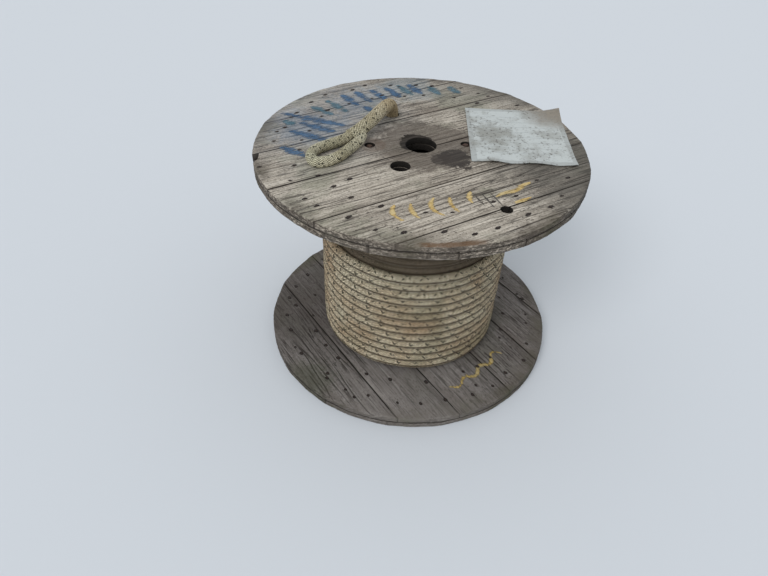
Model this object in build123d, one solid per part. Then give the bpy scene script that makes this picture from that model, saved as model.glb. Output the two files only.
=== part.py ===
from build123d import *
import os
from math import cos, pi, radians, sin, sqrt, tan

os.makedirs("parts", exist_ok=True)

# Sizes in millimetres. The drum stands on its lower flange: Z is its axis, Z 0 the floor.
flange_diameter = 813.0
board_thickness = 17.5  # each flange is two layers of boards nailed crosswise
board_gap = 1.6  # the boards have dried apart
rim_wear = 3.0  # the outer edges are worn off

# Each layer of boards: the way they run, and its seams' places as shares of the flange's radius
upper_outer_layer = (31.5, (-0.770, -0.421, -0.044, 0.342, 0.677))
upper_inner_layer = (121.5, (-0.728, -0.362, 0.002, 0.367, 0.733))
lower_inner_direction = 126.0  # one of its seams runs beside the first tie rod
lower_inner_seams = (-0.800, -0.455, -0.112, 0.640)
rod_seam_distance = 10.0
lower_outer_layer = (36.0, (-0.723, -0.362, 0.000, 0.362, 0.723))

# A corner broken off one of the upper boards, where its seam meets the rim
chipped_board_number = 4
chip_along = 18.0  # from the rim, along the seam
chip_across = 44.0

# The barrel, a ring of flat staves
barrel_length = 521.0  # between the flanges
barrel_diameter = 318.0  # over the corners of the staves
stave_count = 12
stave_thickness = 13.0
stave_gap = 1.0
groove_depth = 5.0  # the staves stand in a groove in each flange
groove_clearance = 0.25

# Holes through the flanges
arbor_diameter = 76.0
drive_hole_diameter = 47.0
drive_hole_angle = 244.4
drive_hole_wall = 2.2  # the wood left between it and the staves' groove
tie_hole_diameter = 27.0  # for lashing the rope's outer end
tie_hole_angle = 303.7
tie_hole_inset = 88.0  # from the rim to the middle of the hole
start_hole_diameter = 37.5  # the rope's inner end comes out here
start_hole_angle = 114.8
start_hole_offset = 17.6  # from the barrel to the middle of the hole

# Tie rods pull the flanges onto the staves, with a recess for the nut at each end
rod_diameter = 12.0
rod_clearance = 0.75
rod_angles = (184.6, 7.5)
rod_insets = (15.0, 29.0)  # from the inside of the staves
rod_recess = 2.0  # the rod ends this far inside the flange's face
nut_recess_diameter = 26.0

# The rope, wound in layers, each nested in the grooves of the one below
rope_diameter = 24.8
turns_per_layer = 21
full_layers = 3
outer_turn_count = 13  # the last layer stops short
barrel_clearance = 0.6
turn_groove = 7.0  # depth of the groove between two turns

# The document sleeve fixed to the upper flange
sleeve_width = 250.0
sleeve_length = 284.0
sleeve_thickness = 1.0
sleeve_place = (245.0, 67.0)
sleeve_turn = -1.0

# The rope's inner end: it comes up through the start hole as a thick splice and ends in an eye
strand_count = 12  # it is braided of this many strands, so it has as many sides
splice_diameter = 33.0
bend_start = 6.0  # it stands straight up to this far over the flange
lay_clearance = 0.3
splice_route = (  # X, Y, and how far its underside is off the flange
    (-80.0, 141.0, 21.5),
    (-100.0, 93.0, 25.5),
    (-131.0, 45.0, 12.5),
    (-158.0, 7.0, 4.5),
)
eye_route = (
    (-189.0, -19.0, 2.0),
    (-228.0, -46.0, 0.5),
    (-254.0, -70.0, 0.0),
    (-259.0, -103.0, 0.0),
    (-243.0, -128.0, 0.0),
    (-212.0, -116.0, 0.0),
    (-187.0, -88.0, 0.0),
    (-166.0, -47.0, 0.0),
    (-152.0, -24.0, 0.5),
)

flange_radius = flange_diameter / 2
flange_thickness = 2 * board_thickness
upper_inside = flange_thickness + barrel_length
drum_height = upper_inside + flange_thickness
barrel_radius = barrel_diameter / 2
stave_outside = barrel_radius * cos(pi / stave_count)
stave_inside = stave_outside - stave_thickness
rope_radius = rope_diameter / 2


def on_circle(radius, angle):
    return radius * cos(radians(angle)), radius * sin(radians(angle))


drive_hole_edge = stave_inside - groove_clearance - drive_hole_wall
drive_hole_place = on_circle(drive_hole_edge - drive_hole_diameter / 2, drive_hole_angle)
tie_hole_place = on_circle(flange_radius - tie_hole_inset, tie_hole_angle)
start_hole_place = on_circle(barrel_radius + start_hole_offset, start_hole_angle)
rod_places = [on_circle(stave_inside - inset, angle) for angle, inset in zip(rod_angles, rod_insets)]

rod_across = Vector(*rod_places[0]).rotate(Axis.Z, -lower_inner_direction).Y
rod_seam = (rod_across + rod_seam_distance) / flange_radius
lower_inner_layer = (lower_inner_direction, sorted((rod_seam, *lower_inner_seams)))


def write(name, shape):
    shape.label = name
    export_step(shape, f"parts/{name}.step")


# A round hole or rod, upright between two heights
def upright(place, diameter, low, high):
    body = Cylinder(diameter / 2, high - low, align=(Align.CENTER, Align.CENTER, Align.MIN))
    return Pos(place[0], place[1], low) * body


# One layer of a flange: a round of boards side by side, bored and grooved as a whole
def board_layer(layer, low, holes, worn_edge=None, groove_low=None):
    direction, seam_shares = layer
    wood = upright((0, 0), flange_diameter, low, low + board_thickness)
    if worn_edge is not None:
        edges = wood.edges().filter_by(GeomType.CIRCLE).sort_by(Axis.Z)
        wood = chamfer(edges[worn_edge], rim_wear)
    for place, diameter in holes:
        wood -= upright(place, diameter, low, low + board_thickness)
    if groove_low is not None:
        wood -= stave_groove(groove_low)
    seams = [share * flange_radius for share in seam_shares]
    borders = [-flange_radius - board_gap] + seams + [flange_radius + board_gap]
    boards = []
    for near, far in zip(borders, borders[1:]):
        strip = Box(2 * flange_radius, far - near - board_gap, board_thickness)
        strip = Pos(0, (near + far) / 2, low + board_thickness / 2) * strip
        boards.append(wood & Rot(0, 0, direction) * strip)
    return boards


def write_boards(name, boards):
    for number, board in enumerate(boards, 1):
        write(f"{name}_board_{number}", board)


# The groove follows the staves round, so it has a side for each of them
def stave_groove(low):
    outer = RegularPolygon(
        stave_outside + groove_clearance, stave_count, False, rotation=180 / stave_count
    )
    inner = RegularPolygon(
        stave_inside - groove_clearance, stave_count, False, rotation=180 / stave_count
    )
    return Pos(0, 0, low) * extrude(outer - inner, groove_depth)


# The corner lost from a board, measured along its seam and across its end
def chip(layer, low):
    direction, seam_shares = layer
    seam = seam_shares[chipped_board_number - 1] * flange_radius
    rim = -sqrt(flange_radius**2 - seam**2)
    outline = Polyline(
        (rim + chip_along, seam),
        (rim - chip_along, seam),
        (rim - chip_along, seam - chip_across),
        (rim + chip_along / 3, seam - chip_across / 2),
        close=True,
    )
    return Rot(0, 0, direction) * Pos(0, 0, low) * extrude(make_face(outline), board_thickness)


bored = [((0, 0), arbor_diameter), (drive_hole_place, drive_hole_diameter)]
sunk_nuts = [(place, nut_recess_diameter) for place in rod_places]
rod_holes = [(place, rod_diameter + 2 * rod_clearance) for place in rod_places]
rope_holes = [(tie_hole_place, tie_hole_diameter), (start_hole_place, start_hole_diameter)]

write_boards("lower_outer", board_layer(lower_outer_layer, 0, bored + sunk_nuts, 0))
lower_groove = flange_thickness - groove_depth
lower_inner = board_layer(
    lower_inner_layer, board_thickness, bored + rod_holes, groove_low=lower_groove
)
write_boards("lower_inner", lower_inner)
upper_inner = board_layer(
    upper_inner_layer, upper_inside, bored + rod_holes + rope_holes, groove_low=upper_inside
)
write_boards("upper_inner", upper_inner)
upper_outer_low = upper_inside + board_thickness
upper_outer = board_layer(upper_outer_layer, upper_outer_low, bored + sunk_nuts + rope_holes, -1)
upper_outer[chipped_board_number - 1] -= chip(upper_outer_layer, upper_outer_low)
write_boards("upper_outer", upper_outer)


# The barrel
def barrel_side(distance):
    return 2 * distance * tan(pi / stave_count) - stave_gap


def stave(number):
    inside, outside = barrel_side(stave_inside) / 2, barrel_side(stave_outside) / 2
    outline = Polyline(
        (stave_inside, -inside),
        (stave_outside, -outside),
        (stave_outside, outside),
        (stave_inside, inside),
        close=True,
    )
    blank = extrude(make_face(outline), barrel_length + 2 * groove_depth)
    return Rot(0, 0, number * 360 / stave_count) * Pos(0, 0, lower_groove) * blank


for number in range(stave_count):
    write(f"barrel_stave_{number + 1}", stave(number))

for number, place in enumerate(rod_places, 1):
    write(f"tie_rod_{number}", upright(place, rod_diameter, rod_recess, drum_height - rod_recess))

# The wound rope, turned as one solid that shows its turns outside and its layers on the ends
turn_pitch = barrel_length / turns_per_layer
layer_rise = sqrt(rope_diameter**2 - (turn_pitch / 2) ** 2)
rope_bore = barrel_radius + barrel_clearance


def layer_outside(layer):
    return rope_bore + rope_diameter + layer * layer_rise


def end_profile(level, inward):
    crest = rope_bore + rope_radius
    points = [(rope_bore, level), (crest, level)]
    for _ in range(full_layers - 1):
        points.append((crest + layer_rise / 2, level + inward * turn_groove))
        crest += layer_rise
        points.append((crest, level))
    return points


def wound_rope():
    under, over = layer_outside(full_layers - 1), layer_outside(full_layers)
    points = end_profile(0, 1) + [(under, turn_pitch / 2), (over - turn_groove, turn_pitch / 2)]
    for turn in range(1, outer_turn_count + 1):
        middle = turn * turn_pitch
        points += [(over, middle), (over - turn_groove, middle + turn_pitch / 2)]
    points += [(under, (outer_turn_count + 0.5) * turn_pitch)]
    points += [(under, barrel_length - turn_pitch / 2)] + end_profile(barrel_length, -1)[::-1]
    profile = Plane.XZ * make_face(Polyline(*points, close=True))
    return Pos(0, 0, flange_thickness) * revolve(profile, Axis.Z)


write("rope_package", wound_rope())


# The route of the rope's middle over the flange
def lying(route, diameter):
    lift = drum_height + diameter / 2 + lay_clearance
    return [Vector(x, y, lift + height) for x, y, height in route]


# A rope is straight runs joined by arcs as large as the runs allow
def rope_tube(points, diameter):
    radii = []
    for before, here, after in zip(points, points[1:], points[2:]):
        shorter = min((here - before).length, (after - here).length)
        half_turn = radians((here - before).get_angle(after - here)) / 2
        radii.append(0.45 * shorter / tan(half_turn))
    path = FilletPolyline(*points, radius=radii)
    start = Plane(origin=path @ 0, z_dir=path % 0)
    section = start * RegularPolygon(diameter / 2, strand_count)
    tube = sweep(section, path)
    print("radii", [round(radius) for radius in radii], "length", round(path.length))
    print("volume", round(tube.volume), "section times length", round(section.area * path.length))
    return tube


# The eye goes on from the splice halfway along the run between the two routes
splice_start = [
    Vector(*start_hole_place, upper_inside + lay_clearance),
    Vector(*start_hole_place, drum_height + bend_start),
]
splice_points = splice_start + lying(splice_route, splice_diameter)
eye_points = lying(eye_route, rope_diameter)
halfway = (splice_points[-1] + eye_points[0]) / 2
write("eye_splice", rope_tube(splice_points + [halfway], splice_diameter))
write("eye_loop", rope_tube([halfway] + eye_points, rope_diameter))

sleeve = Box(sleeve_width, sleeve_length, sleeve_thickness)
sleeve_middle = Pos(*sleeve_place, drum_height + sleeve_thickness / 2)
write("document_sleeve", sleeve_middle * Rot(0, 0, sleeve_turn) * sleeve)
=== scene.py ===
from math import ceil, cos, hypot, pi, radians, sin
import bmesh
import bpy
import numpy as np
from mathutils import Matrix, Vector, noise
from mathutils.geometry import delaunay_2d_cdt


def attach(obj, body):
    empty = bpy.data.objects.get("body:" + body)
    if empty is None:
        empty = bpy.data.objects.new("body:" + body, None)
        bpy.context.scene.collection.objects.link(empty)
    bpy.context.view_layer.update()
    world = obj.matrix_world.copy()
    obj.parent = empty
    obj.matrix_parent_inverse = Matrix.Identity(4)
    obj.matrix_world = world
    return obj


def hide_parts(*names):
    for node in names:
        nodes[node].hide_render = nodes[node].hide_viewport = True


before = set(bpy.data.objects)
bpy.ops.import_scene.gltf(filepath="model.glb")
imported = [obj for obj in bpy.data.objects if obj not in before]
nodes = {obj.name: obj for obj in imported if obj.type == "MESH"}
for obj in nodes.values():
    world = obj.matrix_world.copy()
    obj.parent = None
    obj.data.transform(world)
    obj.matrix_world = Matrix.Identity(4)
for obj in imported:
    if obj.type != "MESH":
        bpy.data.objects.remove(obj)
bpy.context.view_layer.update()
root = "root"
print("frame loaded:", len(nodes), "nodes")

flangeRadius = 0.4065
floorOfTop = 0.591  # the upper flange's face
seamOfTop = 0.5735  # where its two layers of boards meet
underOfTop = 0.556
topOfFoot = 0.035  # the lower flange's upper face
seamOfFoot = 0.0175
topGrain = 31.5  # how the boards of the upper flange's face run, degrees
footGrain = 126.0  # and those of the lower flange's


# Shaders and geometry trees

class Signal:  # a socket that does maths
    def __init__(self, graph, socket):
        self.graph, self.socket = graph, socket

    def maths(self, operation, *values):
        return self.graph.node("ShaderNodeMath", {"operation": operation}, values)

    def __add__(self, other):
        return self.maths("ADD", self, other)

    def __radd__(self, other):
        return self.maths("ADD", other, self)

    def __sub__(self, other):
        return self.maths("SUBTRACT", self, other)

    def __rsub__(self, other):
        return self.maths("SUBTRACT", other, self)

    def __mul__(self, other):
        return self.maths("MULTIPLY", self, other)

    def __rmul__(self, other):
        return self.maths("MULTIPLY", other, self)

    def __truediv__(self, other):
        return self.maths("DIVIDE", self, other)

    def __gt__(self, other):
        return self.maths("GREATER_THAN", self, other)

    def __lt__(self, other):
        return self.maths("LESS_THAN", self, other)

    def sine(self):
        return self.maths("SINE", self)

    def size(self):
        return self.maths("ABSOLUTE", self)

    def whole(self):
        return self.maths("FLOOR", self)

    def fraction(self):
        return self.maths("FRACT", self)

    def atMost(self, other):
        return self.maths("MINIMUM", self, other)

    def atLeast(self, other):
        return self.maths("MAXIMUM", self, other)

    def rise(self, low, high, start=0.0, end=1.0):  # a smooth step from low to high
        values = {"Value": self, "From Min": low, "From Max": high, "To Min": start, "To Max": end}
        return self.graph.node("ShaderNodeMapRange", {"interpolation_type": "SMOOTHSTEP"}, values)

    def fall(self, low, high):
        return self.rise(low, high, 1.0, 0.0)


class Graph:  # builds a material's tree or a geometry tree
    def __init__(self, tree):
        self.tree = tree

    def node(self, kind, settings=None, values=(), output=0):
        made = self.tree.nodes.new(kind)
        for key, value in (settings or {}).items():
            if key == "stops":
                ramp = made.color_ramp.elements
                while len(ramp) < len(value):
                    ramp.new(0.5)
                for stop, (place, colour) in zip(ramp, value):
                    stop.position, stop.color = place, (*colour, 1)
            else:
                setattr(made, key, value)
        pairs = values.items() if isinstance(values, dict) else enumerate(values)
        for key, value in pairs:
            socket = self.pick(made.inputs, key)
            if isinstance(value, Signal):
                self.tree.links.new(value.socket, socket)
            elif value is not None:
                socket.default_value = value
        return Signal(self, self.pick(made.outputs, output)) if len(made.outputs) else None

    def pick(self, sockets, key):
        if isinstance(key, int):
            return sockets[key]
        return next(s for s in sockets if s.enabled and key in (s.identifier, s.name))

    def mix(self, factor, first, second):
        colours = [c if isinstance(c, Signal) else (*c, 1) for c in (first, second)]
        values = {"Factor_Float": factor, "A_Color": colours[0], "B_Color": colours[1]}
        return self.node("ShaderNodeMix", {"data_type": "RGBA"}, values, "Result_Color")

    def ramp(self, value, *stops):
        return self.node("ShaderNodeValToRGB", {"stops": stops}, [value], "Color")

    def vector(self, operation, *values):
        output = "Value" if operation in ("LENGTH", "DISTANCE") else "Vector"
        return self.node("ShaderNodeVectorMath", {"operation": operation}, values, output)

    def cloud(self, place, scale, detail, rough, twist=0.0):
        values = {"Vector": place, "Scale": scale, "Detail": detail, "Roughness": rough, "Distortion": twist}
        return self.node("ShaderNodeTexNoise", None, values, "Fac")

    def parts(self, place):
        split = self.node("ShaderNodeSeparateXYZ", None, [place])
        return [Signal(self, out) for out in split.socket.node.outputs]

    def join(self, x, y, z):
        return self.node("ShaderNodeCombineXYZ", None, [x, y, z])

    def store(self, shape, name, value):  # a value at each point, which a material can read
        values = {"Geometry": shape, "Name": name, "Value": value}
        settings = {"data_type": "FLOAT", "domain": "POINT"}
        return self.node("GeometryNodeStoreNamedAttribute", settings, values)

    def end(self, shape, material):  # a geometry tree's last nodes
        shape = self.node("GeometryNodeRealizeInstances", None, [shape])
        shape = self.node("GeometryNodeSetMaterial", None, {"Geometry": shape, "Material": material})
        self.node("NodeGroupOutput", None, [shape])
        return self


class Paint(Graph):  # a material with its one surface shader
    def __init__(self, name):
        self.material = bpy.data.materials.new(name)
        self.material.use_nodes = True
        super().__init__(self.material.node_tree)
        self.tree.nodes.clear()
        self.place = self.node("ShaderNodeTexCoord", output="Object")

    def attribute(self, name):
        return self.node("ShaderNodeAttribute", {"attribute_name": name}, output="Fac")

    def spots(self, scale, detail, rough, twist=0.0):
        return self.cloud(self.place, scale, detail, rough, twist)

    def turnTo(self, direction, seed=0.0):  # lays the grain along a board, in degrees
        values = {"Vector": self.place, "Rotation": (0, 0, -radians(direction))}
        values["Location"] = (seed * 1.7, seed * 0.9, seed)
        self.board = self.node("ShaderNodeMapping", None, values)

    def grain(self, along, across, detail, rough, twist=0.0):
        place = self.vector("MULTIPLY", self.board, (along, across, across))
        return self.cloud(place, 1.0, detail, rough, twist)

    def coat(self, share, colour):  # one more colour over what is there
        self.base = self.mix(share, self.base, colour)

    def finish(self, base, rough, height=None, depth=0.001, **fixed):
        values = {"Base Color": base if isinstance(base, Signal) else (*base, 1), "Roughness": rough}
        values.update({key.replace("_", " "): value for key, value in fixed.items()})
        if height is not None:
            bump = {"Strength": 1.0, "Distance": depth, "Height": height}
            values["Normal"] = self.node("ShaderNodeBump", None, bump)
        shader = self.node("ShaderNodeBsdfPrincipled", None, values)
        self.node("ShaderNodeOutputMaterial", None, {"Surface": shader})
        return self.material


def placed(name, data):
    made = bpy.data.objects.new(name, data)
    bpy.context.scene.collection.objects.link(made)
    return made


def madeMesh(name, carrier):  # a curve, or what modifiers make, as a plain mesh
    depsgraph = bpy.context.evaluated_depsgraph_get()
    mesh = bpy.data.meshes.new_from_object(carrier.evaluated_get(depsgraph))
    mesh.name = name
    bpy.data.objects.remove(carrier)
    return mesh


def meshOf(name, points, faces=(), edges=()):
    mesh = bpy.data.meshes.new(name)
    mesh.from_pydata(points, edges, faces)
    return mesh


def ringFaces(low, high, count):  # between two rings of points
    return [(low + k, low + (k + 1) % count, high + (k + 1) % count, high + k) for k in range(count)]


def smoothed(mesh):
    mesh.polygons.foreach_set("use_smooth", [True] * len(mesh.polygons))
    mesh.set_sharp_from_angle(angle=radians(50))
    return mesh


def outwardFaces(mesh):
    shell = bmesh.new()
    shell.from_mesh(mesh)
    if shell.calc_volume(signed=True) < 0:
        bmesh.ops.reverse_faces(shell, faces=shell.faces)
    shell.to_mesh(mesh)
    shell.free()


def geometryTree(name, sockets):
    tree = bpy.data.node_groups.new(name, "GeometryNodeTree")
    tree.interface.new_socket("Geometry", in_out="OUTPUT", socket_type="NodeSocketGeometry")
    for label, kind in sockets.items():
        tree.interface.new_socket(label, in_out="INPUT", socket_type="NodeSocket" + kind)
    graph = Graph(tree)
    given = graph.node("NodeGroupInput").socket.node.outputs
    return graph, {label: Signal(graph, given[label]) for label in sockets}


def runTree(graph, name, mesh, values):
    carrier = placed(name, mesh)
    modifier = carrier.modifiers.new("tree", "NODES")
    modifier.node_group = graph.tree
    for item in graph.tree.interface.items_tree:
        if item.in_out == "INPUT" and item.name in values:
            modifier[item.identifier] = values[item.name]
    return madeMesh(name, carrier)


def dress(piece, material):
    piece.data.materials.clear()
    piece.data.materials.append(material)


def newPiece(name, mesh, material, slot, *replaced):
    piece = placed(name, mesh)
    dress(piece, material)
    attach(piece, root)
    if replaced:
        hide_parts(*replaced)
    return piece


# Camera and light

view = {
    "place": (-0.0758, -1.3435, 1.3128),
    "pitch": 41.615,  # degrees below the horizon
    "roll": 2.366,
    "lens": 28.51,
}

pitch, roll = radians(view["pitch"]), radians(view["roll"])
ahead = Vector((0, cos(pitch), -sin(pitch)))
aside, above = Vector((1, 0, 0)), Vector((0, sin(pitch), cos(pitch)))
right = aside * cos(roll) + above * sin(roll)
up = above * cos(roll) - aside * sin(roll)
camera = placed("camera", bpy.data.cameras.new("camera"))
camera.data.lens, camera.data.sensor_width = view["lens"], 36
camera.data.clip_start = 0.05
camera.matrix_world = Matrix.Translation(view["place"]) @ Matrix((right, up, -ahead)).transposed().to_4x4()
bpy.context.scene.camera = camera
bpy.context.scene.view_settings.view_transform = "Standard"

light = {
    "sky": (0.93, 0.97, 1.0),
    "skyStrength": 0.7,
    "backdrop": (0.59, 0.63, 0.68),
    "sunStrength": 1.35,
    "sunTurn": (48, 0, -32),  # degrees
    "sunSpread": 30,
    "floor": (0.66, 0.69, 0.73),
}

world = bpy.data.worlds.new("sky")
bpy.context.scene.world = world
world.use_nodes = True
sky = Graph(world.node_tree)
sky.tree.nodes.clear()
glow, backdrop = (
    sky.node("ShaderNodeBackground", None, {"Color": (*colour, 1), "Strength": strength})
    for colour, strength in ((light["sky"], light["skyStrength"]), (light["backdrop"], 1.0))
)
rays = ("Is Camera Ray", "Is Glossy Ray", "Is Transmission Ray")
seen, glossy, through = (sky.node("ShaderNodeLightPath", output=ray) for ray in rays)
both = sky.node("ShaderNodeMixShader", None, [seen.atLeast(glossy).atLeast(through), glow, backdrop])
sky.node("ShaderNodeOutputWorld", None, {"Surface": both})
sun = placed("sun", bpy.data.lights.new("sun", "SUN"))
sun.data.energy, sun.data.angle = light["sunStrength"], radians(light["sunSpread"])
sun.rotation_euler = [radians(a) for a in light["sunTurn"]]

corners = [(-40, -40, 0), (40, -40, 0), (40, 40, 0), (-40, 40, 0)]
ground = placed("floor", meshOf("floor", corners, [(0, 1, 2, 3)]))
dress(ground, Paint("floor").finish(light["floor"], 0.9))
print("camera and light ready")


# Wood

def woodPaint(name, look, direction, seed, edges=(-1, 1)):
    paint = Paint(name)
    paint.turnTo(direction, seed)
    x, y, z = paint.parts(paint.place)
    flat = paint.join(x, y, 0.0)
    radius = paint.vector("LENGTH", flat)
    fine = paint.grain(7, 330, 4, 0.72)
    streak = paint.grain(2.6, 85, 5, 0.65)
    broad = paint.grain(1.0, 13, 3, 0.5)
    patch = paint.spots(8.0, 6, 0.65)
    speck = paint.spots(210.0, 3, 0.75)
    checks = paint.grain(12, 260, 2, 0.5, 0.4).rise(0.57, 0.64)
    split = (paint.grain(1.1, 34, 2, 0.45, 0.6) - 0.5).size().fall(0.0, 0.015)
    split = split * paint.grain(1.8, 12, 2, 0.5).rise(0.5, 0.56)
    cells = {"Vector": paint.vector("MULTIPLY", paint.board, (3.4, 7.5, 7.5)), "Scale": 1.0}
    cell = paint.node("ShaderNodeTexVoronoi", {"feature": "F1"}, cells, "Distance")
    knot = (cell + (streak - 0.5) * 0.05).fall(0.045, 0.085)
    tone = streak.rise(0.28, 0.72) * 0.26 + fine.rise(0.3, 0.7) * 0.34
    tone = tone + broad.rise(0.3, 0.7) * 0.14 + speck.rise(0.3, 0.7) * 0.26
    paint.base = paint.ramp(tone, (0.2, look["dark"]), (0.5, look["middle"]), (0.8, look["pale"]))
    paint.coat(patch.rise(0.48, 0.72) * 0.6, look["dirt"])
    pits = paint.grain(110, 260, 2, 0.6).rise(0.58, 0.66)
    paint.coat(paint.spots(6.5, 4, 0.6).rise(0.5, 0.66) * 0.5, look["green"])
    paint.coat(pits * patch.rise(0.35, 0.6, 0.4, 0.85), look["crack"])
    paint.coat(paint.grain(5, 240, 3, 0.7).rise(0.56, 0.7) * 0.5, look["pale"])
    paint.coat((checks * 0.75).atLeast(split * 0.9).atLeast(knot * 0.6), look["crack"])
    level = paint.parts(paint.node("ShaderNodeNewGeometry", output="Normal"))[2].size()  # 1 on a flat face
    side = level.fall(0.3, 0.8)
    endGrain = paint.cloud(paint.vector("MULTIPLY", paint.place, (110, 110, 260)), 1.0, 4, 0.75)
    rimCrack = paint.cloud(paint.vector("MULTIPLY", paint.place, (22, 22, 300)), 1.0, 3, 0.6)
    rimTone = paint.ramp(endGrain, (0.38, look["crack"]), (0.49, look["rim"]), (0.62, look["rimPale"]))
    rimTone = paint.mix(rimCrack.rise(0.54, 0.61) * 0.8, rimTone, look["crack"])
    paint.coat(side * look["rimShare"], rimTone)
    across = y * cos(radians(direction)) - x * sin(radians(direction))
    seam = (across - edges[0]).atMost(edges[1] - across) + (fine - 0.5) * 0.003
    paint.coat(seam.fall(0.0004, 0.0027), look["crack"])
    paint.coat(seam.rise(0.002, 0.02, 0.3, 0.0) * patch.rise(0.3, 0.6), look["dirt"])
    edge = radius.rise(flangeRadius - 0.055, flangeRadius - 0.004)
    paint.coat(edge * patch.rise(0.35, 0.6) * 0.62, look["rim"])
    if look["edgeStain"]:
        away = paint.vector("DISTANCE", flat, (*look["edgeStain"], 0.0)) + (patch - 0.5) * 0.12
        band = (radius + (streak - 0.5) * 0.02).rise(flangeRadius - 0.018, flangeRadius - 0.011)
        band = band * (1 - side) * (z > seamOfTop + 0.0065)
        band = band * away.rise(0.05, 0.085, 0.85, 0.0) * speck.rise(0.3, 0.5, 0.4, 1.0)
        paint.coat(band, (0.12, 0.06, 0.026))
    moss = patch.rise(0.52, 0.68) * side.atLeast(edge * 0.6)
    paint.coat(moss * look["moss"], (0.07, 0.075, 0.035))
    flake = paint.spots(55.0, 4, 0.7)
    for place, reach, soft, ragged, share, colour in look["stains"]:
        away = paint.vector("DISTANCE", flat, (*place, 0.0)) + (patch + flake * 0.7 - 0.85) * ragged
        mask = away.fall(reach - soft, reach + soft)
        paint.coat(mask * (share * streak.rise(0.2, 0.8, 0.55, 1.0)), colour)
    ring = (radius - look["ring"]).size().fall(0.0, 0.004) * patch.rise(0.4, 0.55)
    paint.coat(ring * 0.28, look["crack"])
    rounded = level.fall(0.8, 1.0) * (radius > flangeRadius - 0.012)
    layerLine = (z - look["layerLine"]).size().rise(0.0011, 0.0034, 0.95, 0.0)
    paint.coat(layerLine * side.atLeast(rounded), look["crack"])
    # painted shade: side walls away from the rim, in the holes and the joints between boards, are coloured
    # near black
    paint.coat(side * (radius < flangeRadius - 0.03) * 0.96, (0.012, 0.01, 0.008))  # in the holes
    height = streak * 0.5 + fine * 0.4 + speck * 0.2 - split * 1.2 - checks * 0.5 - knot * 0.3
    return paint.finish(paint.base, 0.88, height=height, depth=0.0014, Specular_IOR_Level=0.25)


upperLook = {
    "dark": (0.135, 0.113, 0.094),
    "middle": (0.405, 0.357, 0.297),
    "pale": (0.68, 0.62, 0.535),
    "dirt": (0.215, 0.178, 0.145),
    "green": (0.235, 0.24, 0.175),
    "crack": (0.028, 0.022, 0.018),
    "rim": (0.082, 0.066, 0.052),
    "rimPale": (0.49, 0.425, 0.35),
    "rimShare": 0.9,
    "moss": 0.35,
    "ring": 0.112,  # radius of a scraped ring
    "layerLine": seamOfTop,
    "edgeStain": (0.045, -0.40),  # brown on the front edge
    "stains": (  # place, radius, softness, raggedness, share, colour
        ((-0.26, 0.13), 0.2, 0.12, 0.2, 0.3, (0.31, 0.34, 0.39)),  # bleached
        ((-0.03, -0.22), 0.17, 0.1, 0.2, 0.13, (0.62, 0.54, 0.44)),
        ((-0.29, 0.07), 0.085, 0.05, 0.17, 0.42, (0.13, 0.21, 0.31)),  # thin blue paint
        ((-0.17, 0.235), 0.075, 0.045, 0.17, 0.42, (0.14, 0.22, 0.31)),
        ((-0.03, 0.325), 0.07, 0.04, 0.15, 0.4, (0.14, 0.23, 0.30)),
        ((0.01, 0), 0.128, 0.02, 0.14, 0.9, (0.095, 0.075, 0.06)),  # the worn hub
        ((0.36, -0.09), 0.17, 0.08, 0.22, 0.95, (0.075, 0.068, 0.058)),  # darker on the right
        ((0.2, 0.35), 0.14, 0.08, 0.2, 0.5, (0.15, 0.145, 0.13)),
        ((0.08, -0.062), 0.04, 0.004, 0.09, 1.1, (0.045, 0.037, 0.032)),
        ((0.042, -0.068), 0.026, 0.003, 0.07, 1.0, (0.05, 0.04, 0.034)),
        ((-0.012, 0.008), 0.043, 0.0025, 0.042, 1.3, (0.024, 0.019, 0.015)),  # frayed round the hole
        ((-0.1185, -0.0095), 0.034, 0.003, 0.012, 0.5, (0.13, 0.085, 0.06)),  # the print of a washer
    ),
}
lowerLook = {
    **upperLook,
    "dark": (0.095, 0.082, 0.075),
    "middle": (0.165, 0.148, 0.137),
    "pale": (0.26, 0.238, 0.225),
    "dirt": (0.105, 0.087, 0.076),
    "green": (0.11, 0.105, 0.085),
    "rim": (0.10, 0.085, 0.07),
    "rimPale": (0.25, 0.225, 0.205),
    "moss": 0.6,
    "layerLine": seamOfFoot,
    "edgeStain": None,
    "stains": (
        # lighter towards the front
        ((0.02, -0.36), 0.17, 0.1, 0.16, 0.36, (0.30, 0.275, 0.255)),
        # darker towards the left
        ((-0.3, 0.0), 0.16, 0.1, 0.2, 0.62, (0.055, 0.045, 0.04)),
        ((-0.27, -0.29), 0.06, 0.03, 0.12, 0.6, (0.05, 0.055, 0.03)),
    ),
}

planks = {
    "rimStep": 0.0035,  # spacing of points round the rim, metres
    "seamStep": 0.012,
    "rimRound": 0.0042,  # how far the rim's edges are worn round
    "seamRound": 0.0017,
    "rimWear": 0.0018,
    "unevenness": 0.0003,  # how much the boards' faces differ in height
    "profile": (  # of an edge: share of the height, then shares of the rounding inwards and upwards
        (0, 1, 0), (0, 0.29, 0.29), (0, 0, 1), (0.5, 0, 0), (1, 0, -1), (1, 0.29, -0.29), (1, 1, 0),
    ),
}


def borders(node, plane):
    mesh = nodes[node].data
    points = [tuple(round(c, 6) for c in vertex.co) for vertex in mesh.vertices]
    steps = set()
    for face in mesh.polygons:
        corners = [points[i] for i in face.vertices]
        if all(abs(corner[2] - plane) < 1e-5 for corner in corners):
            steps.update(zip(corners, corners[1:] + corners[:1]))
    following = {a: b for a, b in steps if (b, a) not in steps}
    loops = []
    while following:
        start = next(iter(following))
        loop, here = [start], following.pop(start)
        while here != start:
            loop.append(here)
            here = following.pop(here)
        loops.append(np.array(loop)[:, :2])
    return sorted(loops, key=lambda loop: -abs(area(loop)))


def area(loop):
    after = np.roll(loop, -1, 0)
    return float((loop[:, 0] * after[:, 1] - loop[:, 1] * after[:, 0]).sum() / 2)


def onRim(point):
    return abs(hypot(*point) - flangeRadius) < 0.0004


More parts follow.
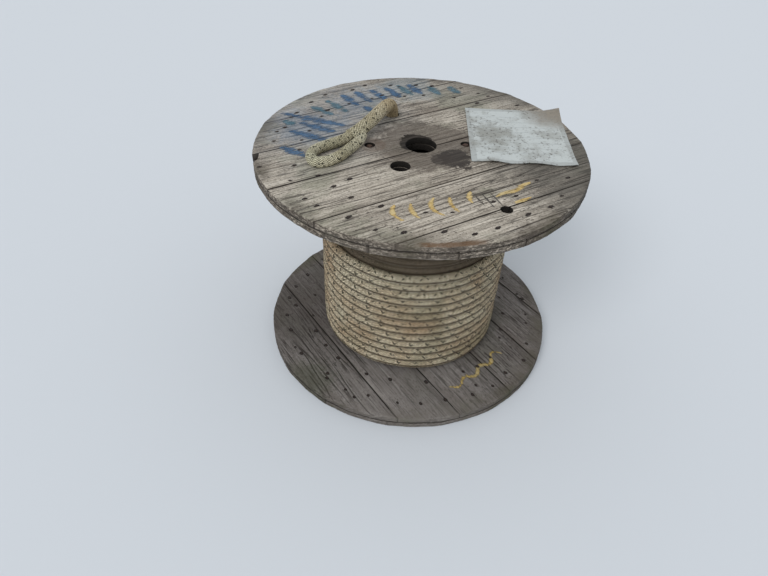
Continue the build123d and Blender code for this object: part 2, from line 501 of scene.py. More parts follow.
def divided(loop):
    points, rim = [], []
    for here, after in zip(loop, np.roll(loop, -1, 0)):
        along = np.linalg.norm(after - here)
        curved = onRim(here) and onRim(after) and np.linalg.norm((here + after) / 2) > flangeRadius - 0.001
        count = max(1, ceil(along / planks["rimStep" if curved else "seamStep"]))
        for k in range(count):
            point = here + (after - here) * k / count
            if curved:
                point = point * flangeRadius / np.linalg.norm(point)
            points.append(point)
            rim.append(curved or (k == 0 and onRim(here)))
    return np.array(points), np.array(rim)


def distance(points, loop):
    run = np.roll(loop, -1, 0) - loop
    away = points[:, None] - loop
    share = np.clip((away * run).sum(2) / (run * run).sum(1), 0, 1)
    return np.linalg.norm(away - share[..., None] * run, axis=2).min(1)


def inside(points, loop):
    x, y = points[:, 0][:, None], points[:, 1][:, None]
    ax, ay = loop[:, 0], loop[:, 1]
    bx, by = np.roll(ax, -1), np.roll(ay, -1)
    crosses = (ay > y) != (by > y)
    with np.errstate(divide="ignore", invalid="ignore"):
        where = ax + (y - ay) / (by - ay) * (bx - ax)
    return (crosses & (x < where)).sum(1) % 2 == 1


def plankMesh(name, node, plane, low, high, seed):
    loops = borders(node, plane)
    loops = [loop if (area(loop) > 0) == (n == 0) else loop[::-1] for n, loop in enumerate(loops)]
    if high in (floorOfTop, topOfFoot):
        high += noise.noise((seed * 3.1, 0.5, 0)) * planks["unevenness"]
    vertices, faces, flat, edges, outlines, index = [], [], [], [], [], []
    for loop in loops:
        points, rim = divided(loop)
        before, after = points - np.roll(points, 1, 0), np.roll(points, -1, 0) - points
        before /= np.linalg.norm(before, axis=1)[:, None]
        after /= np.linalg.norm(after, axis=1)[:, None]
        straight = (before * after).sum(1)
        normals = np.column_stack([-before[:, 1] - after[:, 1], before[:, 0] + after[:, 0]])
        normals /= np.maximum(0.15, 1 + straight)[:, None]
        angles = np.arctan2(points[:, 1], points[:, 0])
        chips = np.array([noise.noise((9 * cos(a), 9 * sin(a), seed)) for a in angles])
        onEdge, onSeam = planks["rimRound"] * (1 + 0.8 * chips), planks["seamRound"] * (1 + 0.5 * chips)
        rounding = np.where(rim, onEdge, onSeam)
        for other in loops:
            if other is not loop:
                rounding = np.minimum(rounding, 0.4 * distance(points, other))
        corners = points[straight < cos(radians(30))]
        if len(corners):
            away = np.linalg.norm(points[:, None] - corners[None], axis=2).min(1)
            rounding = np.minimum(rounding, 0.0003 + 0.16 * away)
        start, count, first = len(vertices), len(points), len(flat)
        for level, inwards, lift in planks["profile"]:
            z = low + (high - low) * level + rounding * lift
            moved = points + normals * (rounding * inwards)[:, None]
            vertices.extend(map(tuple, np.column_stack([moved, z])))
        top = len(vertices) - count
        for ring in range(start, top, count):
            faces += ringFaces(ring, ring + count, count)
        flat += [Vector(vertex[:2]) for vertex in vertices[top:]]
        edges += [(first + k, first + (k + 1) % count) for k in range(count)]
        index += [(start + k, top + k) for k in range(count)]
        outlines.append(np.array(flat[first:]))
    spots, _, triangles, origin, _, _ = delaunay_2d_cdt(flat, edges, [], 0, 1e-7)
    centres = np.array([sum((spots[i] for i in t), Vector((0, 0))) / 3 for t in triangles])
    keep = inside(centres, outlines[0])
    for outline in outlines[1:]:
        keep &= ~inside(centres, outline)
    for triangle, kept in zip(triangles, keep):
        if kept:
            corners = [origin[i][0] for i in triangle]
            a, b, c = (flat[i] for i in corners)
            if (b - a).cross(c - a) < 0:
                corners.reverse()
            faces.append(tuple(index[i][1] for i in corners))
            faces.append(tuple(index[i][0] for i in reversed(corners)))
    return smoothed(meshOf(name, [worn(vertex) for vertex in vertices], faces))


def worn(vertex):  # the rim is worn in, unevenly
    x, y, z = vertex
    radius = hypot(x, y)
    share = min(1, max(0, (radius - flangeRadius + 0.02) / 0.02))
    depth = 0.9 + 0.5 * noise.noise((170 * x, 170 * y, 60 * z)) + 0.9 * noise.noise((15 * x, 15 * y, 9 * z))
    scale = 1 - planks["rimWear"] * max(0, depth) * share / max(radius, 0.1)
    return x * scale, y * scale, z


layers = (
    ("lower_outer", footGrain - 90, seamOfFoot, 0.0, seamOfFoot, lowerLook, "lower_flange_wood"),
    ("lower_inner", footGrain, seamOfFoot, seamOfFoot, topOfFoot, lowerLook, "lower_flange_wood"),
    ("upper_inner", topGrain + 90, seamOfTop, underOfTop, seamOfTop, upperLook, "flange_wood"),
    ("upper_outer", topGrain, seamOfTop, seamOfTop, floorOfTop, upperLook, "flange_wood"),
)
for layer, direction, plane, low, high, look, slot in layers:
    for number in range(1, 7):
        node = f"{layer}_board_{number}"
        seed = number * 1.37 + len(layer) * 0.61 + low * 9
        mesh = plankMesh(f"{layer}_plank_{number}", node, plane, low, high, seed)
        turn = radians(direction)
        across = [v.co[1] * cos(turn) - v.co[0] * sin(turn) for v in nodes[node].data.vertices]
        material = woodPaint(f"{layer} wood {number}", look, direction, seed, (min(across), max(across)))
        newPiece(mesh.name, mesh, material, slot, node)
print("boards done")

barrelLook = {**lowerLook, "middle": (0.2, 0.15, 0.1), "pale": (0.3, 0.23, 0.16)}
barrelPaint = woodPaint("barrel wood", barrelLook, 0, 4.2)
rust = Paint("rusty steel")
crust = rust.spots(220.0, 4, 0.65)
rustStops = (0.3, (0.03, 0.02, 0.016)), (0.55, (0.075, 0.04, 0.026)), (0.75, (0.12, 0.065, 0.038))
rustMaterial = rust.finish(rust.ramp(crust, *rustStops), 0.8, height=crust, depth=0.0008)
for name, node in nodes.items():
    if name.startswith("barrel_stave"):
        dress(node, barrelPaint)
    if name.startswith("tie_rod"):
        dress(node, rustMaterial)


# Nails, nuts and washers

nails = {
    "upperSeen": (  # as shares of the flange's diameter, read off the photo
        (-0.36, 0.26), (-0.32, 0.32), (-0.23, 0.37), (-0.19, 0.41), (-0.1, 0.42), (-0.07, 0.41),
        (-0.235, 0.26), (-0.01, 0.43), (0.045, 0.43), (0.015, 0.35), (-0.05, 0.335), (0.12, 0.34),
        (-0.44, 0.045), (-0.42, 0.075), (-0.44, -0.015), (-0.36, -0.15), (-0.36, -0.23), (-0.455, -0.165),
        (-0.2, -0.21), (-0.24, -0.25), (-0.19, -0.3), (-0.31, -0.315), (-0.275, -0.345), (-0.11, -0.335),
        (-0.19, -0.39), (-0.12, -0.44), (-0.05, -0.445), (0.005, -0.355), (0.075, -0.35), (0.25, -0.26),
        (0.32, -0.175), (0.41, -0.155), (0.375, -0.25), (0.335, -0.305), (0.27, -0.345), (0.185, -0.41),
        (0.125, -0.44), (0.05, -0.435),
    ),
    "lowerSeen": (
        (-0.45, 0.04), (-0.435, 0.105), (-0.445, -0.055), (-0.42, 0), (-0.42, -0.13), (-0.35, -0.05),
        (-0.355, 0.06), (-0.33, -0.13), (-0.24, -0.255), (-0.27, -0.325), (-0.27, -0.345),
        (-0.205, -0.39), (-0.175, -0.42), (-0.14, -0.32), (-0.13, -0.41), (-0.06, -0.34),
        (-0.035, -0.435), (0.04, -0.435), (0.06, -0.345), (0.12, -0.415), (0.21, -0.39), (0.225, -0.35),
        (0.28, -0.35), (0.33, -0.29), (0.4, -0.23),
    ),
    "rings": ((0.44, 9), (0.355, 12)),  # radius and spacing in degrees of the nails that aren't seen
    "apart": 0.055,  # how near these may be to the others
    "holes": ((0.1767, -0.265, 0.02), (-0.0741, 0.1603, 0.026)),  # no nails here
    "underSleeve": tuple(
        (0.245 + x, 0.067 + y, 0.07) for x in (-0.075, 0, 0.075) for y in (-0.09, -0.03, 0.03, 0.09)
    ),
    "head": 0.0036,
    "headHeight": 0.0009,
    "stainHeight": 0.0006,
    "upperStain": (0.0084, 0.0043),  # half its length along the grain and half its width
    "lowerStain": (0.0068, 0.0052),
}


def nailTree():
    graph, given = geometryTree("nails", {
        "Geometry": "Geometry", "Head radius": "Float", "Stain length": "Float", "Stain width": "Float",
        "Grain angle": "Float", "Face down": "Float", "Seed": "Int", "Material": "Material",
    })
    points = graph.node("GeometryNodeMeshToPoints", None, {"Mesh": given["Geometry"], "Radius": 0.001})
    sizes = {"Vertices": 12, "Radius": given["Head radius"], "Depth": nails["headHeight"]}
    head = graph.node("GeometryNodeMeshCylinder", None, sizes, "Mesh")
    sizes = {"Vertices": 14, "Radius": 1.0, "Depth": nails["stainHeight"]}
    disc = graph.node("GeometryNodeMeshCylinder", {"fill_type": "TRIANGLE_FAN"}, sizes, "Mesh")
    place = graph.vector("MULTIPLY", graph.node("GeometryNodeInputPosition"), (1.0, 1.0, 0.0))
    disc = graph.store(disc, "fade", graph.vector("LENGTH", place))
    size = graph.join(given["Stain length"], given["Stain width"], 1.0)
    disc = graph.node("GeometryNodeTransform", None, {"Geometry": disc, "Scale": size})
    both = graph.node("GeometryNodeJoinGeometry")
    for part in (disc, head):
        graph.tree.links.new(part.socket, both.socket.node.inputs[0])

    def randomly(low, high):
        values = {"Min": low, "Max": high, "Seed": given["Seed"]}
        return graph.node("FunctionNodeRandomValue", {"data_type": "FLOAT"}, values, "Value")

    turn = graph.join(given["Face down"] * pi, 0.0, given["Grain angle"] + randomly(-0.2, 0.2))
    turn = graph.node("FunctionNodeEulerToRotation", None, [turn])
    grow = randomly(0.75, 1.25)
    values = {"Points": points, "Instance": both, "Rotation": turn, "Scale": graph.join(grow, grow, 1.0)}
    return graph.end(graph.node("GeometryNodeInstanceOnPoints", None, values), given["Material"])


def nailPlaces(seen, skip):
    places = [(x * 2 * flangeRadius, y * 2 * flangeRadius) for x, y in seen]
    for share, spacing in nails["rings"]:
        for k in range(360 // spacing):
            angle = radians(k * spacing + 3 * sin(k * 2.3))
            reach = 2 * flangeRadius * (share + 0.008 * sin(k * 1.7))
            place = (reach * cos(angle), reach * sin(angle))
            if all(hypot(place[0] - x, place[1] - y) > nails["apart"] for x, y in places[:len(seen)]):
                places.append(place)
    return [p for p in places if not any(hypot(p[0] - x, p[1] - y) < r for x, y, r in skip)]


nailPaint = Paint("nails and their stains")
fade = nailPaint.attribute("fade")
ragged = nailPaint.spots(330.0, 4, 0.7)
crustTone = nailPaint.mix(ragged, (0.012, 0.01, 0.009), (0.05, 0.03, 0.022))
nailBase = nailPaint.mix(fade > 0.01, crustTone, (0.013, 0.011, 0.01))
stainShows = ((fade + (ragged - 0.5) * 1.2) * (fade > 0.01)).rise(0.55, 0.95, 0.96, 0.0)
nailMaterial = nailPaint.finish(nailBase, 0.9, Alpha=stainShows)
nailGraph = nailTree()
proud = nails["stainHeight"] / 2
bare = nails["holes"] + nails["underSleeve"]
for name, seen, skip, height, grain, stain in (
    ("upper_nails", "upperSeen", bare, floorOfTop + proud, topGrain, "upperStain"),
    ("upper_nail_points", "upperSeen", nails["holes"], underOfTop - proud, topGrain + 90, "lowerStain"),
    ("lower_nails", "lowerSeen", (), topOfFoot + proud, footGrain, "lowerStain"),
):
    mesh = meshOf(name + "_places", [(x, y, height) for x, y in nailPlaces(nails[seen], skip)])
    mesh = runTree(nailGraph, name, mesh, {
        "Head radius": nails["head"], "Stain length": nails[stain][0], "Stain width": nails[stain][1],
        "Grain angle": radians(grain), "Face down": float(name == "upper_nail_points"), "Seed": 3,
        "Material": nailMaterial,
    })
    newPiece(name, mesh, nailMaterial, "rusty_steel")

fixings = {
    "places": ((-0.1252, -0.0101), (0.1106, 0.0146)),
    "nutAcross": 0.018,
    "nutHeight": 0.0095,
    "nutHole": 0.0061,
    "washer": 0.024,
    "washerHeight": 0.0025,
    "washerHole": 0.0064,
}


def addRing(vertices, faces, place, inner, outer, low, high, sides, turn=0.0):
    start = len(vertices)
    angles = [turn + 2 * pi * k / sides for k in range(sides)]
    for radius, z in ((inner, low), (outer, low), (outer, high), (inner, high)):
        vertices += [(place[0] + radius * cos(a), place[1] + radius * sin(a), z) for a in angles]
    for k in range(4):
        faces += ringFaces(start + k * sides, start + (k + 1) % 4 * sides, sides)


for name, face, outwards in (("upper_nuts", seamOfTop, 1), ("lower_nuts", seamOfFoot, -1)):
    vertices, faces = [], []
    for k, place in enumerate(fixings["places"]):
        washerTop = face + outwards * fixings["washerHeight"]
        nutTop = washerTop + outwards * fixings["nutHeight"]
        washer, nut = fixings["washer"] / 2, fixings["nutAcross"] / 2 / cos(pi / 6)
        addRing(vertices, faces, place, fixings["washerHole"], washer, *sorted((face, washerTop)), 32)
        addRing(vertices, faces, place, fixings["nutHole"], nut, *sorted((washerTop, nutTop)), 6, 0.4 + k)
    mesh = meshOf(name, vertices, faces)
    outwardFaces(mesh)
    newPiece(name, mesh, rustMaterial, "rusty_steel")
print("nails and nuts done")

# Paint and crayon marks, as worn strokes that spell nothing
brush = {
    "lift": 0.00045,  # how far a mark stands proud of the wood
    "thick": 0.0009,
    "step": 0.005,
    "rounding": 16,  # how often the corners are eased
}
marks = {
    "blue": {
        "colour": (0.022, 0.078, 0.165), "faded": (0.09, 0.16, 0.26), "width": 0.036, "cover": 0.95,
        "strokes": (
            ((-0.365, 0.14), (-0.275, 0.11), (-0.19, 0.084)), ((-0.31, 0.09), (-0.212, 0.048)),
            ((-0.33, 0.044), (-0.225, 0.002)), ((-0.338, -0.038), (-0.27, -0.08)),
            ((-0.216, 0.266), (-0.164, 0.202)), ((-0.18, 0.292), (-0.128, 0.224)),
            ((-0.15, 0.2), (-0.124, 0.17)), ((-0.137, 0.306), (-0.086, 0.24)),
            ((-0.098, 0.326), (-0.05, 0.262)), ((-0.034, 0.354), (0.008, 0.292)),
        ),
    },
    "teal": {
        "colour": (0.035, 0.115, 0.155), "faded": (0.12, 0.20, 0.25), "width": 0.034, "cover": 0.85,
        "strokes": (
            ((-0.354, 0.098), (-0.316, 0.08)), ((-0.292, 0.186), (-0.226, 0.14)),
            ((-0.256, 0.228), (-0.19, 0.16)), ((-0.062, 0.345), (-0.016, 0.28)),
            ((0.024, 0.346), (0.06, 0.29)), ((0.082, 0.352), (0.116, 0.304)),
        ),
    },
    "yellow": {
        "colour": (0.62, 0.40, 0.10), "faded": (0.60, 0.47, 0.24), "width": 0.016, "cover": 1.0,
        "strokes": (
            ((-0.06, -0.264), (-0.07, -0.287), (-0.063, -0.31), (-0.04, -0.323)),
            ((-0.027, -0.255), (-0.028, -0.289), (-0.008, -0.312)),
            ((0.024, -0.23), (0.012, -0.259), (0.02, -0.284), (0.046, -0.298)),
            ((0.058, -0.226), (0.056, -0.257), (0.076, -0.283)),
            ((0.106, -0.2), (0.096, -0.223), (0.106, -0.248)),
            ((0.158, -0.218), (0.182, -0.196), (0.206, -0.198), (0.222, -0.166), (0.246, -0.152)),
            ((0.196, -0.24), (0.238, -0.214)),
        ),
    },
    "black": {
        "colour": (0.03, 0.028, 0.026), "faded": (0.07, 0.065, 0.06), "width": 0.006, "cover": 0.75,
        "strokes": (
            ((0.114, -0.219), (0.133, -0.258)), ((0.129, -0.208), (0.152, -0.262)),
            ((0.147, -0.201), (0.172, -0.256)),
        ),
    },
    "low": {
        "colour": (0.48, 0.34, 0.09), "faded": (0.40, 0.32, 0.17), "width": 0.017, "cover": 1.0,
        "strokes": ((
            (0.11, -0.292), (0.135, -0.3), (0.15, -0.282), (0.142, -0.258), (0.164, -0.248),
            (0.182, -0.262), (0.196, -0.238), (0.188, -0.214), (0.212, -0.206), (0.232, -0.214),
            (0.238, -0.186), (0.226, -0.166), (0.248, -0.152), (0.268, -0.166),
        ),),
    },
}


def markPaint(name, mark, direction):
    paint = Paint(name)
    paint.turnTo(direction)
    edge = paint.attribute("edge")
    grain = paint.grain(14, 330, 4, 0.7)
    patch = paint.spots(45.0, 5, 0.7)
    alpha = (grain * 1.4 + patch * 1.1 - edge * edge * 0.5).rise(0.8, 1.38) * mark["cover"]
    return paint.finish(paint.mix(patch.rise(0.35, 0.65), mark["colour"], mark["faded"]), 0.9, Alpha=alpha)


def strokeLine(stroke):  # points along it, with its corners rounded off
    points = []
    for a, b in zip(np.array(stroke), np.array(stroke[1:])):
        count = max(2, int(hypot(*(b - a)) / brush["step"]))
        points += [a + (b - a) * k / count for k in range(count)]
    points = np.array([*points, stroke[-1]])
    for _ in range(brush["rounding"]):
        points[1:-1] = (points[:-2] + 2 * points[1:-1] + points[2:]) / 4
    return points


for name, mark in marks.items():
    wood, slot, direction = floorOfTop, "flange_wood", topGrain
    if name == "low":
        wood, slot, direction = topOfFoot, "lower_flange_wood", footGrain
    high, low = wood + brush["lift"], wood + brush["lift"] - brush["thick"]
    vertices, faces, edges = [], [], []
    for number, stroke in enumerate(mark["strokes"]):
        points = strokeLine(stroke)
        last = len(points) - 1
        for k, (x, y) in enumerate(points):
            run = points[min(k + 1, last)] - points[max(k - 1, 0)]
            nx, ny = -run[1] / hypot(*run), run[0] / hypot(*run)
            taper = sin(pi * (0.12 + 0.76 * k / last))  # narrower at its ends
            half = mark["width"] / 2 * taper * (1 + 0.35 * noise.noise((x * 60, y * 60, number)))
            for side, z in ((-1, high), (0, high), (1, high), (1, low), (-1, low)):
                vertices.append((x + nx * half * side, y + ny * half * side, z))
                edges.append(abs(side) if 0 < k < last else 1.0)
            start = len(vertices) - 5
            if k:
                faces += ringFaces(start - 5, start, 5)
            if k in (0, last):
                end = tuple(range(start, start + 5))
                faces.append(end if k else end[::-1])
    mesh = meshOf(f"{name}_marks", vertices, faces)
    mesh.attributes.new("edge", "FLOAT", "POINT").data.foreach_set("value", edges)
    outwardFaces(mesh)
    newPiece(f"{name}_marks", mesh, markPaint(f"{name} marks", mark, direction), slot)
print("marks done")


# Rope

def onTop(over, a, b):  # from whichever strand is on top
    return a * over + b * (1 - over)


def weave(along, around, lay, strands):  # two over, two under
    a, b = (along / lay + around) * strands, (along / lay - around) * strands
    over = ((a.whole() + b.whole()) / 4).fraction() < 0.5
    return a, b, over, onTop(over, (a * pi).sine().size(), (b * pi).sine().size())


def ropePaint(name, look):
    paint = Paint(name)
    along, ringX, ringY = (paint.attribute(label) for label in ("along", "ringX", "ringY"))
    around = ringY.maths("ARCTAN2", ringY, ringX) / (2 * pi)
    around = around + paint.cloud(paint.join(along, 0.0, 0.0), 0.9, 2, 0.5) * look["twist"]
    a, b, over, ridge = weave(along, around, look["lay"], look["strands"])
    crossing = {"Vector": paint.join(a.whole(), b.whole(), 0.0)}
    cell = paint.node("ShaderNodeTexWhiteNoise", {"noise_dimensions": "2D"}, crossing, "Value")
    yarn = onTop(over, a.fraction() < 0.7, b.fraction() < 0.7)
    marked = onTop(over, ((a.whole() + 0.5) / 8).fraction(), ((b.whole() + 0.5) / 8).fraction()) < 0.125
    fuzz = paint.spots(420.0, 2, 0.7)
    patch = paint.spots(11.0, 5, 0.65)
    paint.base = paint.mix(patch.rise(0.33, 0.67), look["dark"], look["pale"])
    paint.coat(fuzz.rise(0.35, 0.7) * 0.5, look["fibre"])
    paint.coat(paint.spots(7.0, 3, 0.5).rise(0.48, 0.64) * 0.52, look["tint"])
    paint.coat(paint.spots(6.0, 3, 0.5, 0.4).rise(0.53, 0.66) * 0.45, look["green"])
    # painted shade between the strands, and on the strands running one way round
    paint.coat(ridge.rise(0.34, 0.92, look["gapShade"], 0.0), look["shade"])
    paint.coat((1 - over) * look["slantShade"], look["shade"])
    paint.coat(cell.rise(0.0, 1.0, 0.0, 0.34), look["shade"])
    paint.coat(paint.spots(170.0, 3, 0.75).rise(0.46, 0.66) * look["grime"], look["shade"])
    if look["browned"]:
        away = paint.vector("DISTANCE", paint.place, look["browned"]) + (patch - 0.5) * 0.1
        paint.coat(away.rise(0.02, 0.2, 0.7, 0.0), (0.33, 0.235, 0.13))
    fleck = marked * yarn * (ridge > 0.25) * (cell < look["flecks"])
    paint.coat(fleck * 0.95, look["tracer"])
    # painted shade where the turns touch
    paint.coat(ringX.size().rise(0.93, 0.99) * look["touchShade"], look["shade"])
    height = ridge * 0.7 + fuzz * 0.5
    return paint.finish(paint.base, 0.9, height=height, depth=look["bump"], Specular_IOR_Level=0.2)


def braidTree():  # a braided tube along a line of points
    graph, given = geometryTree("braided rope", {
        "Geometry": "Geometry", "Diameter": "Float", "Sides": "Int", "Step": "Float", "Strands": "Float",
        "Lay": "Float", "Weave height": "Float", "Upright": "Bool", "Material": "Material",
    })
    line = graph.node("GeometryNodeMeshToCurve", None, {"Mesh": given["Geometry"]})
    spacing = {"Curve": line, "Length": given["Step"]}
    line = graph.node("GeometryNodeResampleCurve", {"mode": "LENGTH"}, spacing)
    level, free = (
        graph.node("GeometryNodeSetCurveNormal", {"mode": mode}, {"Curve": line})
        for mode in ("Z_UP", "MINIMUM_TWIST")
    )
    choice = {"Switch": given["Upright"], "False": free, "True": level}
    line = graph.node("GeometryNodeSwitch", {"input_type": "GEOMETRY"}, choice)
    line = graph.store(line, "along", graph.node("GeometryNodeSplineParameter", output="Length"))
    sizes = {"Resolution": given["Sides"], "Radius": given["Diameter"] / 2}
    circle = graph.node("GeometryNodeCurvePrimitiveCircle", {"mode": "RADIUS"}, sizes)
    turn = graph.node("GeometryNodeSplineParameter", output="Factor") * (2 * pi)
    circle = graph.store(circle, "ringX", turn.maths("COSINE", turn))
    circle = graph.store(circle, "ringY", turn.sine())
    sweep = {"Curve": line, "Profile Curve": circle, "Fill Caps": True}
    tube = graph.node("GeometryNodeCurveToMesh", None, sweep)
    along, ringX, ringY = (
        graph.node("GeometryNodeInputNamedAttribute", {"data_type": "FLOAT"}, {"Name": label})
        for label in ("along", "ringX", "ringY")
    )
    around = ringY.maths("ARCTAN2", ringY, ringX) / (2 * pi)
    ridge = weave(along, around, given["Lay"], given["Strands"])[3]
    outwards = graph.node("GeometryNodeInputNormal", output="Normal")
    shift = {"Vector": outwards, "Scale": (ridge - 0.7) * given["Weave height"]}
    shift = graph.node("ShaderNodeVectorMath", {"operation": "SCALE"}, shift)
    tube = graph.node("GeometryNodeSetPosition", None, {"Geometry": tube, "Offset": shift})
    tube = graph.node("GeometryNodeSetShadeSmooth", None, {"Geometry": tube})
    return graph.end(tube, given["Material"])


braid = braidTree()
ropeLook = {
    "strands": 16.0,  # each way round
    "lay": 0.084,
    "flecks": 0.86,  # how many of the dark yarns show
    "gapShade": 1.0,  # how much painted shade lies between the strands
    "slantShade": 0.2,  # painted shade: how much darker the strands running one way round are, as if turned from the light
    "grime": 0.42,  # how dirty it is
    "browned": None,
    "twist": 1.2,  # how unevenly the rope is turned about itself
    "touchShade": 0.92,  # how much painted shade lies where the turns touch
    "dark": (0.86, 0.67, 0.43),
    "pale": (1.0, 0.89, 0.64),
    "fibre": (1.0, 0.95, 0.76),
    # the colour of painted shade, also used for grime and for darker crossings
    "shade": (0.07, 0.052, 0.034),
    "tint": (0.56, 0.34, 0.17),
    "green": (0.46, 0.46, 0.30),
    "tracer": (0.018, 0.022, 0.018),
    "bump": 0.0016,
}
# weathered, and with painted light: coloured lighter than the wound rope for its lit top
eyeLook = {
    **ropeLook,
    "gapShade": 0.9,
    "slantShade": 0.12,
    "grime": 0.25,
    "browned": (-0.074, 0.16, 0.60),  # where it comes out of the flange
    "twist": 0.0,
    "touchShade": 0.0,
    "flecks": 0.8,
    "dark": (0.95, 0.86, 0.60),
    "pale": (1.0, 0.95, 0.73),
    "fibre": (1.0, 0.98, 0.83),
    "shade": (0.10, 0.09, 0.055),
    "tint": (0.40, 0.33, 0.17),
}
shadedLook = {  # painted shade: the rope under the flange is coloured dark
    **ropeLook,
    "flecks": 0.2,
    "dark": (0.14, 0.11, 0.08),
    "pale": (0.25, 0.205, 0.15),
    "fibre": (0.30, 0.25, 0.19),
    "tint": (0.16, 0.13, 0.07),
    "green": (0.14, 0.13, 0.08),
}
winding = {
    "diameter": 0.0252,
    "pitch": 0.521 / 21,
    "thirdRadius": 0.2151,
    "outerRadius": 0.2366,
    "thirdTurns": 20,
    "outerTurns": 12,
    "wobble": 0.0024,
    "step": 0.013,
    "sides": 16,
    "startAngle": 80,  # degrees, behind the drum
    "pointsPerTurn": 160,
    "core": (0.160, 0.2145, 0.036, 0.555),  # the turns inside: both radii, bottom and top
    "coreSides": 96,
}


def windingLine(name, radius, turns, low, seed):
    points = []
    for k in range(int(turns * winding["pointsPerTurn"]) + 1):
        turn = k / winding["pointsPerTurn"]
        angle = radians(winding["startAngle"]) + 2 * pi * turn
        step = min(1.0, max(0.0, (turn % 1 - 0.9) / 0.1))  # it climbs to the next turn in the last tenth
        height = low + (int(turn) + step * step * (3 - 2 * step)) * winding["pitch"]
        place = Vector((2.1 * cos(angle), 2.1 * sin(angle), turn * 0.9 + seed))
        height += winding["wobble"] * noise.noise(place)
        out = radius + 0.8 * winding["wobble"] * noise.noise(place + Vector((7, 3, 1)))
        points.append((out * cos(angle), out * sin(angle), height))
    return meshOf(name, points, (), [(k, k + 1) for k in range(len(points) - 1)])


ropeMaterial = ropePaint("braided rope", ropeLook)
eyeMaterial = ropePaint("weathered braid", eyeLook)
shadedMaterial = ropePaint("rope under the flange", shadedLook)
for name, layer, lowest, seed, material in (
    ("rope_third_layer", "third", topOfFoot + winding["pitch"] / 2, 3.0, shadedMaterial),
    ("rope_outer_layer", "outer", topOfFoot + winding["pitch"], 8.0, ropeMaterial),
):
    radius, turns = winding[layer + "Radius"], winding[layer + "Turns"] + 1
    mesh = runTree(braid, name, windingLine(name + "_line", radius, turns, lowest, seed), {
        "Diameter": winding["diameter"], "Sides": winding["sides"], "Step": winding["step"],
        "Strands": ropeLook["strands"], "Lay": ropeLook["lay"], "Weave height": 0.0,
        "Upright": True, "Material": material,
    })
    outwardFaces(mesh)
    newPiece(name, mesh, material, "rope", "rope_package")

vertices, faces = [], []
addRing(vertices, faces, (0, 0), *winding["core"], winding["coreSides"])
coreMesh = meshOf("rope_inner_layers", vertices, faces)
outwardFaces(coreMesh)
corePaint = Paint("rope in shade")
coreTone = corePaint.spots(90.0, 4, 0.7)
coreBase = corePaint.mix(coreTone.rise(0.45, 0.75) * 0.5, shadedLook["dark"], shadedLook["pale"])
newPiece("rope_inner_layers", coreMesh, corePaint.finish(coreBase, 0.95, height=coreTone), "rope")
print("wound rope done")

# The rope's inner end: the same points as the solid's route
spliceRoute = [
    (-0.07407, 0.16031, 0.5563), (-0.07407, 0.16031, 0.586), (-0.07407, 0.16031, 0.600),
    (-0.080, 0.141, 0.6293), (-0.100, 0.093, 0.6333), (-0.131, 0.045, 0.6203), (-0.158, 0.007, 0.6123),
]
eyeRoute = [  # its tail is buried in the splice
    (-0.189, -0.019, 0.6057), (-0.228, -0.046, 0.6042), (-0.254, -0.070, 0.6037),
    (-0.259, -0.103, 0.6037), (-0.243, -0.128, 0.6037), (-0.212, -0.116, 0.6037),
    (-0.187, -0.088, 0.6037), (-0.166, -0.047, 0.6037), (-0.152, -0.024, 0.6042), (-0.143, 0.006, 0.607),
    (-0.146, 0.028, 0.614),
]
halfway = tuple((a + b) / 2 for a, b in zip(spliceRoute[-1], eyeRoute[0]))


def routeLine(name, route):
    curve = bpy.data.curves.new(name, "CURVE")
    curve.dimensions = "3D"
    spline = curve.splines.new("NURBS")
    spline.points.add(len(route) - 1)
    for point, place in zip(spline.points, route):
        point.co = (*place, 1)
    spline.order_u = 3
    spline.use_endpoint_u = True
    spline.resolution_u = 24
    return madeMesh(name, placed(name, curve))


eye = {"splice": 0.033, "loop": 0.0248, "weaveHeight": 0.0009, "step": 0.001, "sides": 120}
for name, route, node in (
    ("splice", spliceRoute + [halfway], "eye_splice"),
    ("loop", [halfway] + eyeRoute, "eye_loop"),
):
    line = routeLine(name + "_line", route)
    mesh = runTree(braid, "rope_" + name, line, {
        "Diameter": eye[name], "Sides": eye["sides"], "Step": eye["step"], "Strands": eyeLook["strands"],
        "Lay": eyeLook["lay"], "Weave height": eye["weaveHeight"], "Upright": False, "Material": eyeMaterial,
    })
    outwardFaces(mesh)
    piece = newPiece("rope_" + name, mesh, eyeMaterial, "eye_rope", node)
print("eye done")

# Document sleeve
sleeve = {
    "place": (0.245, 0.067),
    "size": (0.250, 0.284),
    "turn": -1.0,  # degrees
    "thick": 0.0008,
    "columns": 50,
    "rows": 57,
    "ruleSpacing": 0.027,
    "paper": (0.112, 0.128),  # half the size of the sheet in it
}


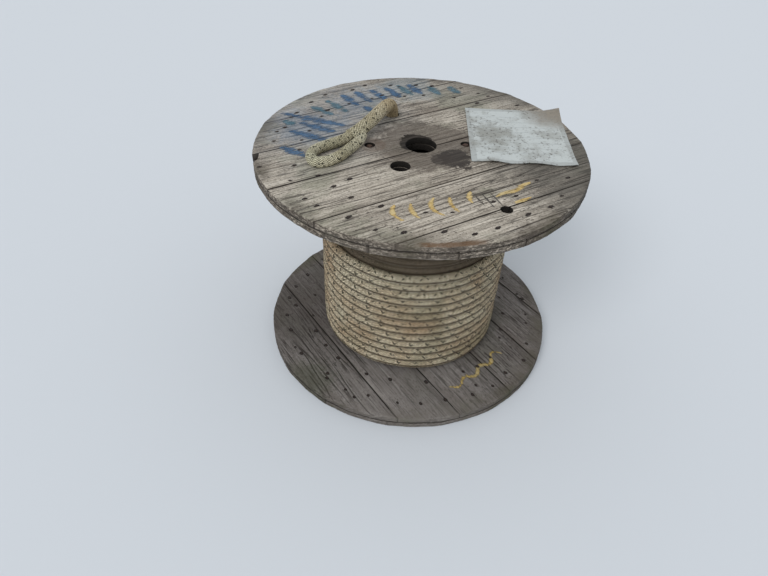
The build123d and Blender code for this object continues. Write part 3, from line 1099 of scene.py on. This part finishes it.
def sleeveMesh():
    rows, columns = sleeve["rows"], sleeve["columns"]
    width, length = sleeve["size"]
    turn = radians(sleeve["turn"])
    points, faces = [], []
    for j in range(rows + 1):
        for i in range(columns + 1):
            u, v = i / columns - 0.5, j / rows - 0.5
            x, y = u * width, v * length
            lift = 0.0018 + 0.0013 * noise.noise((x * 22, y * 16, 5.0))
            lift += 0.0007 * noise.noise((x * 70, y * 50, 2.0))
            front = max(0.0, 1 - (v + 0.5) / 0.22)
            lift += 0.004 * front ** 2 * (1 + sin(x * 62)) * 0.5
            corner = max(0.0, 1 - hypot((0.5 - u) * width, (0.5 - v) * length) / 0.07)
            lift += 0.012 * corner ** 1.6
            here = len(points)
            points.append((
                sleeve["place"][0] + x * cos(turn) - y * sin(turn),
                sleeve["place"][1] + x * sin(turn) + y * cos(turn), floorOfTop + lift,
            ))
            if i and j:
                faces.append((here - columns - 2, here - columns - 1, here, here - 1))
    carrier = placed("sleeve", meshOf("sleeve grid", points, faces))
    solid = carrier.modifiers.new("thickness", "SOLIDIFY")
    solid.thickness, solid.offset = sleeve["thick"], 1.0
    return smoothed(madeMesh("document_sleeve_film", carrier))


film = Paint("sleeve film")
filmX, filmY, _ = film.parts(film.place)
u, v = filmX - sleeve["place"][0], filmY - sleeve["place"][1]
wide, long = sleeve["paper"]
paper = u.size().fall(wide, wide + 0.002) * v.size().fall(long, long + 0.002)
smudge = film.spots(14.0, 5, 0.6)
specks = film.spots(120.0, 3, 0.7)
rules = ((v / sleeve["ruleSpacing"]).fraction() - 0.5).size().fall(0.018, 0.034)
rules = rules * (u.size() < 0.1) * (v.size() < 0.118)
film.base = film.mix(paper, (0.40, 0.42, 0.405), (0.52, 0.55, 0.535))
film.coat(smudge.rise(0.42, 0.68) * 0.85, (0.24, 0.235, 0.20))
film.coat(rules * smudge.rise(0.35, 0.6, 0.7, 0.3), (0.20, 0.22, 0.23))
film.coat(specks.rise(0.54, 0.64) * smudge.rise(0.33, 0.55) * 0.85, (0.09, 0.075, 0.06))
cornerPlace = (sleeve["size"][0] / 2, sleeve["size"][1] / 2, 0.0)
corner = film.vector("DISTANCE", film.join(u, v, 0.0), cornerPlace) + (smudge - 0.5) * 0.14
film.coat(corner.rise(0.05, 0.12, 0.9, 0.0), film.mix(specks, (0.08, 0.06, 0.04), (0.34, 0.29, 0.22)))
filmMaterial = film.finish(film.base, 0.38, height=smudge, depth=0.002, Coat_Weight=0.4)
sleevePiece = newPiece("document_sleeve_film", sleeveMesh(), filmMaterial, "sleeve_film", "document_sleeve")
print("sleeve done")
